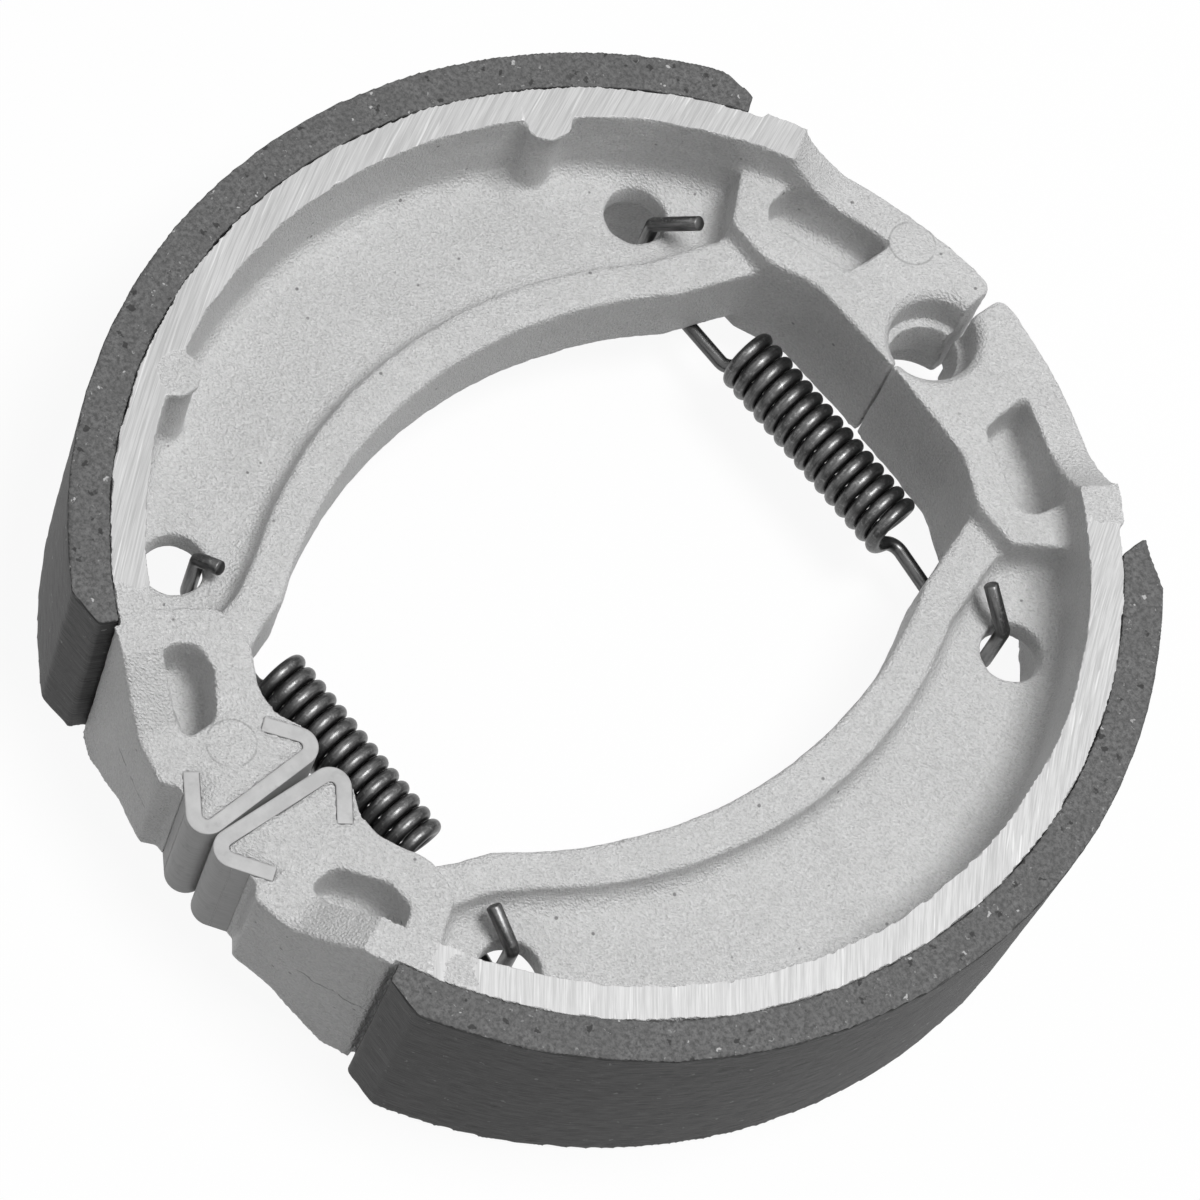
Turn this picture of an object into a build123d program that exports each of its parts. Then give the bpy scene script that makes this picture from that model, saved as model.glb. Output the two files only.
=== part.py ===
"""Drum brake shoe set: two cast shoes with bonded linings, cast-in steel cam
plates and two return springs, as a set lies in its box before it is fitted.

Each shoe is drawn in its working place: the drum's axis is the origin, the
anchor pin lies on +Y, the cam on -Y, and the shoe is on the -X side with its
middle plane at z = 0. The springs pull the loose pair together until the
anchor faces and the cam faces touch at their corners, and that closed state
is what is written out, with the rims standing on z = 0.
"""

from build123d import *

import math
import os

os.makedirs("parts", exist_ok=True)

# Drum and lining. Angles are in degrees about the drum's axis, from +X.
drum_radius = 55.0
lining_thickness = 4.0
lining_start = 125.0
lining_end = 240.8
lining_bevel_depth = 2.0
lining_bevel_length = 3.4
slant_lean = 1.7
slant_depth = 1.2

# Rim of the casting.
rim_width = 25.0
rim_wall = 4.0
stop_height = 0.6
seat_start = 123.1
seat_end = 241.3
rim_start = 118.3
rim_end = 244.7
anchor_sweep = 9.0
cam_ramp = 7.0
root_depth = 0.3

# Blocks, web and flange. Depths are measured in from the rim's outer wall.
block_width = 15.0
web_thickness = 3.2
flange_height = 9.4
bay_depth = 19.0
flange_depth = 23.5
bay_chamfer = 1.2
pocket_chamfer = 0.5

# Anchor end.
anchor_half_gap = 0.95
anchor_face_depth = 14.75
anchor_corner = 1.2
pin_depth = 8.9
pin_land_radius = 4.1
pin_recess_radius = 5.0
pin_recess_depth = 5.0
pin_recess_chamfer = 0.8

# Cam end and its steel plate.
cam_half_thickness = 4.3
plate_thickness = 1.5
plate_inner_bend = 0.5
plate_top_depth = 16.4
plate_bottom_depth = 0.26
upper_leg_length = 6.1
upper_leg_angle = 215.0
lower_leg_length = 6.8
lower_leg_angle = 143.0

# Spring holes and the marks of the mould's ejector pins.
hole_radius = 3.15
ejector_rib_radius = 2.1
ejector_pad_radius = 2.5
ejector_pad_thickness = 0.8
ejector_mark_radius = 2.4
ejector_mark_height = 0.12
rib_places = (148.9, 209.7)

# Springs. A hook's numbers say how far in from the hole's middle and how far
# along it the wire stands, then how far in, along and up its tip leans.
spring_wire = 1.4
spring_diameter = 5.2
spring_drop = 2.9
anchor_spring_rise = 1.3
anchor_spring_offset = -0.3
anchor_coils = 14
anchor_pitch = 1.59
anchor_hooks = ((2.05, 0.4, 3.9, 1.6, 4.6), (1.95, 0.3, 3.9, 0.5, 3.5))
cam_spring_rise = 2.4
cam_spring_offset = -0.8
cam_coils = 13
cam_pitch = 1.6
cam_hooks = ((1.2, 1.9, 2.4, 0.6, 1.5), (1.4, 1.3, 4.05, 0.5, 2.1))
end_bend = 1.5
hook_bend = 1.6
hook_height = 0.8
wire_sides = 6
coil_facets = 11
bend_facets = 3

# Fit of the loose pair.
contact_clearance = 0.1

# Sizes that follow from the ones above.
lining_width = rim_width
seat_radius = drum_radius - lining_thickness
outer_radius = seat_radius + stop_height
inner_radius = outer_radius - rim_wall
half_rim = rim_width / 2
half_block = block_width / 2
half_web = web_thickness / 2
half_flange = flange_height / 2
anchor_foot = outer_radius - anchor_face_depth
pin_height = outer_radius - pin_depth
plate_top = outer_radius - plate_top_depth
plate_bottom = outer_radius - plate_bottom_depth
bend_radius = plate_inner_bend + plate_thickness / 2
bend_outer = plate_inner_bend + plate_thickness
plate_middle = cam_half_thickness + plate_thickness / 2
middle_radius = (inner_radius + outer_radius) / 2
drop = half_rim - half_block
buried = half_block - root_depth
sweep_radius = (anchor_sweep**2 + (half_rim - buried) ** 2) / (2 * (half_rim - buried))
anchor_stop = (rim_start + seat_start) / 2
cam_stop = (rim_end + seat_end) / 2


def polar(radius, angle):
    """Point at a radius and an angle in degrees about the drum's axis."""
    return (
        radius * math.cos(math.radians(angle)),
        radius * math.sin(math.radians(angle)),
    )


def inside(depth, angle):
    """Point at a depth in from the rim's outer wall, at an angle."""
    return polar(outer_radius - depth, angle)


def drum_arc(start, end):
    """Arc about the drum's axis on the -X side, between two points of one radius."""
    first = math.degrees(math.atan2(start[1], start[0])) % 360
    last = math.degrees(math.atan2(end[1], end[0])) % 360
    CenterArc((0, 0), math.hypot(*start), first, last - first)


def draw_sector(inner, outer, start, end):
    """Face between two radii, from one angle to another, for the sketch in hand."""
    with BuildLine() as outline:
        CenterArc((0, 0), outer, start, end - start)
        CenterArc((0, 0), inner, start, end - start)
        Line(polar(inner, start), polar(outer, start))
        Line(polar(inner, end), polar(outer, end))
    make_face(outline.edges())


anchor_hole = inside(8.66, 135.1)
cam_hole = inside(8.06, 227.9)
anchor_mark = inside(2.6, 101.3)
cam_mark = inside(8.05, 256.5)

# The plate's middle line: a flat cam face with a leg bent back at each end.
upper_corner = (-plate_middle, -plate_top)
lower_corner = (-plate_middle, -plate_bottom)
upper_run = polar(upper_leg_length, upper_leg_angle)
lower_run = polar(lower_leg_length, lower_leg_angle)
upper_tip = (upper_corner[0] + upper_run[0], upper_corner[1] + upper_run[1])
lower_tip = (lower_corner[0] + lower_run[0], lower_corner[1] + lower_run[1])
lower_bend = bend_radius / math.tan(math.radians((lower_leg_angle - 90) / 2))
lower_bend_y = lower_corner[1] + lower_bend

# Steel cam plate, bent from strip and cast into the block.
with BuildPart() as cam_plate:
    with BuildSketch(Plane.XY.offset(-half_block)):
        with BuildLine():
            FilletPolyline(
                upper_tip, upper_corner, lower_corner, lower_tip, radius=bend_radius
            )
        trace(line_width=plate_thickness)
    extrude(amount=block_width)

# Where the rim's width falls to the block's: a hollow sweep at the anchor.
anchor_plane = Plane(
    origin=polar(middle_radius, rim_start) + (0,),
    x_dir=polar(1, rim_start - 90) + (0,),
    z_dir=polar(-1, rim_start) + (0,),
)
with BuildPart() as sweep_cut:
    with BuildSketch(anchor_plane):
        with BuildLine():
            RadiusArc((0, half_rim), (anchor_sweep, buried), -sweep_radius)
            Polyline(
                (anchor_sweep, buried),
                (4 * anchor_sweep, buried),
                (4 * anchor_sweep, half_rim + drop),
                (0, half_rim + drop),
                (0, half_rim),
            )
        make_face()
    extrude(amount=2 * rim_wall, both=True)
    mirror(about=Plane.XY)

# And a ramp with a hollow foot at the cam.
cam_plane = Plane(
    origin=polar(middle_radius, rim_end) + (0,),
    x_dir=polar(1, rim_end + 90) + (0,),
    z_dir=polar(1, rim_end) + (0,),
)
with BuildPart() as ramp_cut:
    with BuildSketch(cam_plane):
        with BuildLine():
            FilletPolyline(
                (0, half_rim + drop),
                (0, half_rim),
                (cam_ramp, buried),
                (4 * cam_ramp, buried),
                (4 * cam_ramp, half_rim + drop),
                radius=(0, drop, 0),
            )
            Line((4 * cam_ramp, half_rim + drop), (0, half_rim + drop))
        make_face()
    extrude(amount=2 * rim_wall, both=True)
    mirror(about=Plane.XY)

# Rim: a band that carries the lining, with a stop at each end.
with BuildPart() as rim:
    with BuildSketch():
        draw_sector(inner_radius, outer_radius, rim_start - 10, rim_end + 8)
    extrude(amount=half_rim, both=True)
    with BuildSketch():
        draw_sector(seat_radius, outer_radius + 1, seat_start, seat_end)
    extrude(amount=half_rim, both=True, mode=Mode.SUBTRACT)
    add(sweep_cut.part, mode=Mode.SUBTRACT)
    add(ramp_cut.part, mode=Mode.SUBTRACT)

# Block at the anchor. Its corner at the anchor face is rounded.
face_top = (
    -anchor_half_gap,
    math.sqrt(outer_radius**2 - anchor_half_gap**2),
)
with BuildPart() as anchor_block:
    with BuildSketch() as anchor_plan:
        with BuildLine():
            heel = polar(middle_radius, anchor_stop)
            FilletPolyline(
                face_top,
                (-anchor_half_gap, anchor_foot),
                (-12.2, anchor_foot),
                inside(12.92, 116.6),
                inside(10.1, 123.3),
                inside(3.6, 123.8),
                heel,
                radius=(0, 4, 3, 1.4, 0),
            )
            shoulder = polar(outer_radius, anchor_stop)
            Line(heel, shoulder)
            drum_arc(shoulder, face_top)
        make_face()
        corner = anchor_plan.vertices().sort_by_distance((*face_top, 0))[0]
        fillet(corner, radius=anchor_corner)
    extrude(amount=half_block, both=True)

# Block at the cam. Its wall dips before the plate's lower bend.
with BuildPart() as cam_block:
    with BuildSketch():
        with BuildLine():
            toe = polar(middle_radius, cam_stop)
            toe_wall = polar(outer_radius, cam_stop)
            lip = polar(outer_radius, 257.1)
            drum_arc(toe_wall, lip)
            FilletPolyline(
                lip,
                inside(1.5, 258.6),
                inside(1.3, 260.0),
                inside(0.5, 261.6),
                inside(0.9, 263.0),
                (-plate_middle, lower_bend_y),
                (-plate_middle, -plate_top - 2.4),
                (-plate_middle - 1.55, -plate_top - 0.9),
                (-plate_middle - 2.15, -plate_top - 0.5),
                inside(13.3, 254.6),
                inside(12.8, 250.4),
                inside(13.5, 243.2),
                inside(11.4, 237.7),
                inside(3.2, 237.0),
                toe,
                radius=(0.3, 0.5, 0.7, 0, 0, 0, 0, 0.8, 1.5, 4, 3, 2.2, 0),
            )
            Line(toe, toe_wall)
        make_face()
    extrude(amount=half_block, both=True)

# Web and flange.
with BuildPart() as web:
    with BuildSketch():
        with BuildLine():
            flange_top = inside(18.4, 127.9)
            flange_foot = inside(18.05, 235.1)
            ThreePointArc(flange_foot, inside(flange_depth, 179.4), flange_top)
            rim_top = inside(rim_wall / 2, 118.9)
            rim_foot = inside(rim_wall / 2, 243.7)
            FilletPolyline(
                flange_top,
                inside(15.0, 120.2),
                inside(12.15, 115.5),
                inside(11.8, 110.0),
                inside(9.35, 108.8),
                rim_top,
                radius=(3, 3, 0, 0),
            )
            drum_arc(rim_top, rim_foot)
            FilletPolyline(
                rim_foot,
                inside(9.2, 250.7),
                inside(12.0, 249.3),
                inside(13.1, 244.6),
                inside(15.5, 239.7),
                flange_foot,
                radius=(0, 0, 2, 3),
            )
        make_face()
    extrude(amount=half_flange, both=True)

# The bay between rim and flange, cut down to the web from each side.
with BuildPart() as bay:
    with BuildSketch(Plane.XY.offset(half_web)):
        with BuildLine():
            bay_top = inside(rim_wall, 123.6)
            bay_foot = inside(rim_wall, 237.1)
            bay_left = inside(15.6, 226.9)
            bay_right = inside(15.55, 134.3)
            drum_arc(bay_top, bay_foot)
            FilletPolyline(
                bay_foot,
                inside(11.1, 237.6),
                inside(13.7, 233.9),
                bay_left,
                radius=(2.0, 4),
            )
            ThreePointArc(bay_left, inside(bay_depth, 179.3), bay_right)
            FilletPolyline(bay_right, inside(10.7, 122.9), bay_top, radius=1.8)
        make_face()
    extrude(amount=half_rim)
    chamfer(bay.faces().sort_by(Axis.Z)[0].edges(), bay_chamfer)
    mirror(about=Plane.XY)

# The pocket in each block.
with BuildPart() as pockets:
    with BuildSketch(Plane.XY.offset(half_web)):
        with BuildLine():
            pocket_top = inside(rim_wall, 103.2)
            pocket_heel = inside(rim_wall, 117.5)
            drum_arc(pocket_top, pocket_heel)
            FilletPolyline(
                pocket_heel,
                inside(7.3, 118.9),
                inside(8.9, 117.6),
                inside(9.0, 115.5),
                inside(9.4, 108.5),
                inside(9.5, 105.6),
                pocket_top,
                radius=(1.2, 1.2, 1.2, 1.5, 1.0),
            )
        make_face()
        with BuildLine():
            FilletPolyline(
                inside(6.1, 241.9),
                inside(8.4, 242.5),
                inside(9.3, 246.3),
                inside(7.6, 252.8),
                inside(4.3, 253.7),
                inside(4.4, 248.9),
                inside(4.8, 242.8),
                close=True,
                radius=0.7,
            )
        make_face()
    extrude(amount=half_block)
    chamfer(pockets.faces().group_by(Axis.Z)[0].edges(), pocket_chamfer)
    mirror(about=Plane.XY)

# Half of the anchor pin's seat: a land between two recesses.
with BuildPart() as pin_seat:
    with BuildSketch():
        with Locations((0, pin_height)):
            Circle(pin_land_radius)
    extrude(amount=half_block, both=True)
    with BuildSketch(Plane.XY.offset(half_block - pin_recess_depth)):
        with Locations((0, pin_height)):
            Circle(pin_recess_radius)
    extrude(amount=pin_recess_depth)
    with BuildSketch(Plane.XY.offset(half_block - pin_recess_chamfer)):
        with Locations((0, pin_height)):
            Circle(pin_recess_radius)
    extrude(amount=2 * pin_recess_chamfer, taper=-45)
    mirror(about=Plane.XY)

# Ejector ribs on the rim's inner wall, each under a round pad.
with BuildPart() as ribs:
    with BuildSketch(Plane.XY.offset(half_web / 2)):
        for angle in rib_places:
            with Locations(polar(inner_radius, angle)):
                Circle(ejector_rib_radius)
    extrude(amount=half_rim - half_web / 2)
    with BuildSketch(Plane.XY.offset(half_rim - ejector_pad_thickness)):
        for angle in rib_places:
            with Locations(polar(inner_radius, angle)):
                Circle(ejector_pad_radius)
    extrude(amount=ejector_pad_thickness)

# The casting.
with BuildPart() as casting:
    add(rim.part)
    add(anchor_block.part)
    add(cam_block.part)
    add(web.part)
    add(bay.part, mode=Mode.SUBTRACT)
    add(pockets.part, mode=Mode.SUBTRACT)
    add(pin_seat.part, mode=Mode.SUBTRACT)
    add(cam_plate.part, mode=Mode.SUBTRACT)
    with BuildSketch():
        with Locations(anchor_hole, cam_hole):
            Circle(hole_radius)
    extrude(amount=half_web, both=True, mode=Mode.SUBTRACT)
    add(ribs.part)
    with BuildSketch(Plane.XY.offset(half_block)):
        with Locations(anchor_mark, cam_mark):
            Circle(ejector_mark_radius)
    extrude(amount=ejector_mark_height)

# Linings: one has both ends bevelled, the other a slanted anchor end.
bevel_angle = math.degrees(lining_bevel_length / drum_radius)
bevel_radius = drum_radius - lining_bevel_depth
foot_end = [
    polar(seat_radius, lining_end),
    polar(bevel_radius, lining_end),
    polar(drum_radius, lining_end - bevel_angle),
]
bevelled_end = [
    polar(drum_radius, lining_start + bevel_angle),
    polar(bevel_radius, lining_start),
    polar(seat_radius, lining_start),
]
slanted_end = [
    polar(drum_radius, lining_start + bevel_angle + slant_lean),
    polar(drum_radius - slant_depth, lining_start + slant_lean),
    polar(bevel_radius + 0.5, lining_start - slant_lean / 4),
    polar(seat_radius, lining_start + slant_lean),
]
with BuildPart() as bevelled_lining:
    with BuildSketch():
        with BuildLine():
            drum_arc(bevelled_end[-1], foot_end[0])
            Polyline(*foot_end)
            drum_arc(foot_end[-1], bevelled_end[0])
            Polyline(*bevelled_end)
        make_face()
    extrude(amount=lining_width / 2, both=True)
with BuildPart() as slanted_lining:
    with BuildSketch():
        with BuildLine():
            drum_arc(slanted_end[-1], foot_end[0])
            Polyline(*foot_end)
            drum_arc(foot_end[-1], slanted_end[0])
            Polyline(*slanted_end)
        make_face()
    extrude(amount=lining_width / 2, both=True)

# The closed pair. The springs tip each shoe until the foot of its anchor face
# and the lower bend of its cam plate both reach the middle plane.
bend_centre_x = plate_middle + bend_radius
span = anchor_foot - lower_bend_y
reach = bend_centre_x - anchor_half_gap
tilt = math.acos(bend_outer / math.hypot(reach, span)) - math.atan2(span, reach)
shift = (
    anchor_half_gap * math.cos(tilt)
    + anchor_foot * math.sin(tilt)
    - contact_clearance / 2
)
left_place = Location((shift, 0, half_rim), (0, 0, math.degrees(tilt)))
right_place = Location((0, 0, rim_width), (0, 180, 0)) * left_place


def placed(point):
    """Where a point of the left shoe's own plan lies in the closed pair."""
    x, y = point
    return (
        shift + x * math.cos(tilt) - y * math.sin(tilt),
        x * math.sin(tilt) + y * math.cos(tilt),
    )


def hooked_end(start, leaving, side, hole, hook):
    """Middle line of an end wire: from the coil it bends to run below the flange,
    turns up through the web's hole and ends above the web, leaning back."""
    across, along, lean_in, lean_along, rise = hook
    bend = start + leaving * (1.25 * end_bend)
    stand = hole[0] - across
    level = half_rim + half_web + hook_height
    below = Vector(side * stand, hole[1] + along, bend.Z)
    above = Vector(side * stand, hole[1] + along, level)
    tip = above + Vector(-side * lean_in, lean_along, rise)
    return [start, bend, below, above, tip]


def chords(line):
    """Points along a bent wire: the ends of each straight run, and the chords of
    each bend."""
    points = []
    for edge in line.edges():
        parts = 1 if edge.geom_type == GeomType.LINE else bend_facets
        points += [edge @ (i / parts) for i in range(parts)]
    return points + [line.edges()[-1] @ 1]


def close_wound_spring(x_middle, y, coils, pitch, hole, hooks):
    """Close-wound spring along X, hooked into the same hole of each shoe."""
    length = (coils + 8 / 9) * pitch
    level = half_rim - spring_drop
    axis = Axis((x_middle - length / 2, y, level), (1, 0, 0))
    with BuildLine() as path:
        coil = Helix(
            pitch=pitch,
            height=length,
            radius=spring_diameter / 2,
            center=axis.position,
            direction=axis.direction,
            mode=Mode.PRIVATE,
        ).rotate(axis, -160)
        left_end = hooked_end(coil @ 0, -(coil % 0), -1, hole, hooks[0])
        right_end = hooked_end(coil @ 1, coil % 1, 1, hole, hooks[1])
        bends = (end_bend, hook_bend, hook_bend / 2)
        left_wire = FilletPolyline(*left_end, radius=bends, mode=Mode.PRIVATE)
        right_wire = FilletPolyline(*right_end, radius=bends, mode=Mode.PRIVATE)
        facets = round((coils + 8 / 9) * coil_facets)
        stations = chords(left_wire)[:0:-1]
        stations += [coil @ (i / facets) for i in range(facets)]
        stations += chords(right_wire)
        Polyline(*stations)
    with BuildPart() as body:
        middle_line = path.wire()
        with BuildSketch(Plane(origin=middle_line @ 0, z_dir=middle_line % 0)):
            RegularPolygon(spring_wire / 2, wire_sides)
        sweep(path=middle_line, transition=Transition.RIGHT)
    return body


# The springs. Both shoes have their holes at the same distance from the middle.
anchor_x, anchor_y = placed(anchor_hole)
cam_x, cam_y = placed(cam_hole)
anchor_spring = close_wound_spring(
    anchor_spring_offset,
    anchor_y + anchor_spring_rise,
    anchor_coils,
    anchor_pitch,
    (-anchor_x, anchor_y),
    anchor_hooks,
)
cam_spring = close_wound_spring(
    cam_spring_offset,
    cam_y + cam_spring_rise,
    cam_coils,
    cam_pitch,
    (-cam_x, cam_y),
    cam_hooks,
)
anchor_spring.part.label = "anchor_spring"
cam_spring.part.label = "cam_spring"

# The six cast, bonded and pressed pieces in their places.
with BuildPart() as left_shoe:
    with Locations(left_place):
        add(casting.part)
left_shoe.part.label = "left_shoe"
with BuildPart() as right_shoe:
    with Locations(right_place):
        add(casting.part)
right_shoe.part.label = "right_shoe"
with BuildPart() as left_lining:
    with Locations(left_place):
        add(bevelled_lining.part)
left_lining.part.label = "left_lining"
with BuildPart() as right_lining:
    with Locations(right_place):
        add(slanted_lining.part)
right_lining.part.label = "right_lining"
with BuildPart() as left_cam_plate:
    with Locations(left_place):
        add(cam_plate.part)
left_cam_plate.part.label = "left_cam_plate"
with BuildPart() as right_cam_plate:
    with Locations(right_place):
        add(cam_plate.part)
right_cam_plate.part.label = "right_cam_plate"

for piece in (
    left_shoe,
    right_shoe,
    left_lining,
    right_lining,
    left_cam_plate,
    right_cam_plate,
    anchor_spring,
    cam_spring,
):
    export_step(piece.part, f"parts/{piece.part.label}.step")
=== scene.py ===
"""Dresses the drum brake shoe set: finishes for the castings, linings and cam
plates, the two close-wound return springs as round wire, a stage and a camera."""

import math

import bmesh
import bpy
import numpy as np
from bpy.props import FloatProperty, FloatVectorProperty, IntProperty, PointerProperty
from mathutils import Matrix, Vector


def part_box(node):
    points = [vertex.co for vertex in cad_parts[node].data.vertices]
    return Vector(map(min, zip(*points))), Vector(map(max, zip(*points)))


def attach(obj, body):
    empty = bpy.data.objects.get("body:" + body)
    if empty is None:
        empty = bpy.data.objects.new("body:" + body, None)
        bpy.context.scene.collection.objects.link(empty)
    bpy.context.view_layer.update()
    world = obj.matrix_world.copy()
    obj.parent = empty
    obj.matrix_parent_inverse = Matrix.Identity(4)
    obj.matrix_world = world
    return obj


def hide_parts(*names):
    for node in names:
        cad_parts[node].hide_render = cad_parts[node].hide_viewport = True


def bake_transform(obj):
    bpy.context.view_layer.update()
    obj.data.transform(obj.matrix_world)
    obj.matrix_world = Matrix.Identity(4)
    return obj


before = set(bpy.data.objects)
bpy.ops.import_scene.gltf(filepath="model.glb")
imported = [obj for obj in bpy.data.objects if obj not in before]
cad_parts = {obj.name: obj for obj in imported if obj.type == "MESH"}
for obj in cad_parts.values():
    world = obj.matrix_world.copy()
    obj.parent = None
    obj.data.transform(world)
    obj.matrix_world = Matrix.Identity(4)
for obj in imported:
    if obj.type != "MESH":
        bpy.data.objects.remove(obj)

bl_info = {
    "name": "Drum Brake Shoe Set",
    "version": (1, 0, 0),
    "blender": (4, 5, 0),
    "location": "3D View > Sidebar > Brake Shoes",
    "description": "Finishes and springs for a pair of drum brake shoes",
    "category": "Object",
}

MM = 0.001
RIM_LOW, RIM_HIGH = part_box("left_shoe")
HALF_RIM = (RIM_HIGH.z - RIM_LOW.z) / 2
MIDDLE = (RIM_HIGH.z + RIM_LOW.z) / 2
DRUM_RADIUS = 55 * MM
CASTING_TRIANGLES = 184000
LINING_TRIANGLES = 160000
# Points of a CAD node this near are merged, and points and faces this near to a
# cut face lie in it.
MERGE_DISTANCE = 1e-6
CUT_SLACK = 0.02 * MM
FACE_SLACK = 0.01 * MM
# Distances over which the worn surfaces wander.
COARSE_WANDER = 3.1 * MM
FINE_WANDER = 0.9 * MM
# A coil starts at this angle and has this part of a turn beyond its whole ones.
# Its wire runs straight on for this many bend radii to the corner of its end bend,
# and turns over this far above the middle level.
COIL_START = math.radians(-70)
COIL_PART_TURN = 8 / 9
BEND_REACH = 1.25
HOOK_LEVEL = 2.4 * MM
DOWN = (0, 0, -1)
# The spring wire's ends are cut off with a chamfer, as a share of its radius.
WIRE_CHAMFER = 0.12
# The middle of the circles of the machining marks, in millimetres, the colour of
# the few deep ones, and the density of the grinding streaks round the linings.
CUTTER_CENTRE = (162, 118)
SCORE_COLOUR = (0.97, 0.97, 0.97)
STREAKS_IN_RADIAN = 19.25
# The stage: half the floor's width and how far it lies below the object, the part
# of the floor's look that is its own glow, and the fill lamp against the key lamp.
FLOOR_REACH = 3.0
FLOOR_GAP = 0.2 * MM
FLOOR_GLOW = 0.93
FILL_SHARE = 0.08
WHITE = (1, 1, 1, 1)
# How much of the cast skin's colour its grain may take, and the grain's turn.
GRAIN_SHARE = 0.27
GRAIN_TURN = 0.4


def length(name, description, value_mm):
    """A length property, given in millimetres."""
    return FloatProperty(
        name=name,
        description=description,
        default=value_mm * MM,
        unit="LENGTH",
        precision=5,
    )


def share(name, description, value):
    """A property between 0 and 1."""
    return FloatProperty(
        name=name, description=description, default=value, min=0, max=1, subtype="FACTOR"
    )


def grey(name, description, value):
    """A colour property whose default is a grey."""
    return FloatVectorProperty(
        name=name,
        description=description,
        default=(value, value, value),
        min=0,
        max=1,
        size=3,
        subtype="COLOR",
    )


class BrakeCastingFinish(bpy.types.PropertyGroup):
    """As-cast aluminium with machined rim faces."""

    cell: length("Cell", "Size of the mesh cells of the castings", 0.25)
    uneven: length("Unevenness", "How far the cast skin wanders", 0.05)
    passes: IntProperty(
        name="Rounding Passes", description="Passes that round the cast edges", default=8
    )
    fills: IntProperty(
        name="Filling Passes", description="Passes that fill the inner corners", default=36
    )
    colour: grey("Cast Colour", "Colour of the as-cast skin", 0.62)
    machined: grey("Machined Colour", "Colour of the cut rim faces", 0.55)
    # The speck colour is also used for the painted shade of the pin rings and of the torn seam.
    speck_and_shade: grey("Speck Colour", "Colour of the dark specks in the skin", 0.14)
    grain: length("Grain", "Size of the grain of the cast skin", 0.28)
    grain_depth: length("Grain Depth", "Height of the grain", 0.3)
    scratch: length("Scratch Depth", "Depth of the machining marks", 0.01)


class BrakeLiningFinish(bpy.types.PropertyGroup):
    """Moulded friction material, ground on the outside."""

    cell: length("Cell", "Size of the mesh cells of the linings", 0.3)
    uneven: length("Unevenness", "How far the surface wanders", 0.03)
    passes: IntProperty(
        name="Rounding Passes", description="Passes that round the edges", default=1
    )
    fills: IntProperty(
        name="Filling Passes", description="Passes that fill the inner corners", default=0
    )
    inset: length("Face Inset", "How far the faces lie below the rim's", 0.03)
    colour: grey("Side Colour", "Colour of the sides", 0.13)
    ground: grey("Ground Colour", "Colour of the ground outer face", 0.028)
    flake: grey("Flake Colour", "Colour of the light grains", 0.5)
    pit: grey("Pit Colour", "Colour of the dark pits", 0.02)
    flake_spacing: length("Flake Spacing", "Distance between light grains", 1.3)
    streak: length("Streak Width", "Width of the grinding streaks", 0.16)
    relief: length("Relief", "Height of the surface texture", 0.05)


class BrakeSpringSizes(bpy.types.PropertyGroup):
    """Close-wound springs with a hooked wire at each end."""

    wire: length("Wire", "Diameter of the spring wire", 1.5)
    coil: length("Coil", "Outer diameter of the coil less one wire", 5.2)
    pitch: length("Anchor Pitch", "Pitch of the anchor spring", 1.59)
    cam_pitch: length("Cam Pitch", "Pitch of the cam spring", 1.6)
    turns: IntProperty(
        name="Anchor Turns", description="Whole turns of the anchor spring", default=14
    )
    cam_turns: IntProperty(
        name="Cam Turns", description="Whole turns of the cam spring", default=13
    )
    bend: length("End Bend", "Bend where the wire leaves the coil", 1.5)
    hook_bend: length("Hook Bend", "Bend below the hole", 1.6)
    sides: IntProperty(
        name="Wire Sides", description="Points round the wire", default=20
    )
    steps: IntProperty(
        name="Steps", description="Rings along one turn of the coil", default=40
    )
    colour: grey("Wire Colour", "Colour of the blackened wire", 0.1)
    worn: grey("Worn Colour", "Colour where the black has rubbed off", 0.32)


class BrakePlateFinish(bpy.types.PropertyGroup):
    """Rolled steel strip."""

    colour: grey("Strip Colour", "Colour of the steel strip", 0.45)
    rough: share("Roughness", "Roughness of the strip", 0.62)


class BrakeStage(bpy.types.PropertyGroup):
    """Floor, lamps and camera."""

    floor: grey("Floor Colour", "Colour of the floor", 0.95)
    bounce: grey("Bounce Colour", "Colour of the floor for the light it returns", 0.22)
    world: share("World Light", "Light from all round", 0.15)
    key: FloatProperty(
        name="Key Lamp", description="Power of the lamp above", default=6.2, unit="POWER"
    )
    aim: FloatVectorProperty(
        name="Aim",
        description="Point that the camera looks at",
        default=(0.89 * MM, -0.74 * MM, 12.5 * MM),
        size=3,
        subtype="XYZ",
        unit="LENGTH",
    )
    distance: length("Distance", "From the aim to the camera", 521.57)
    azimuth: FloatProperty(
        name="Azimuth",
        description="Turn of the camera about the set",
        default=math.radians(-64.32),
        subtype="ANGLE",
    )
    elevation: FloatProperty(
        name="Elevation",
        description="Height of the camera as an angle",
        default=math.radians(62.63),
        subtype="ANGLE",
    )
    roll: FloatProperty(
        name="Roll",
        description="Turn of the camera about its own axis",
        default=math.radians(26.71),
        subtype="ANGLE",
    )
    lens: FloatProperty(
        name="Lens",
        description="Focal length for a 36 mm wide picture, in millimetres",
        default=160.5,
    )


def times(factor, colour):
    """A colour made darker or lighter by a factor."""
    return tuple(factor * part for part in colour)


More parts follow.
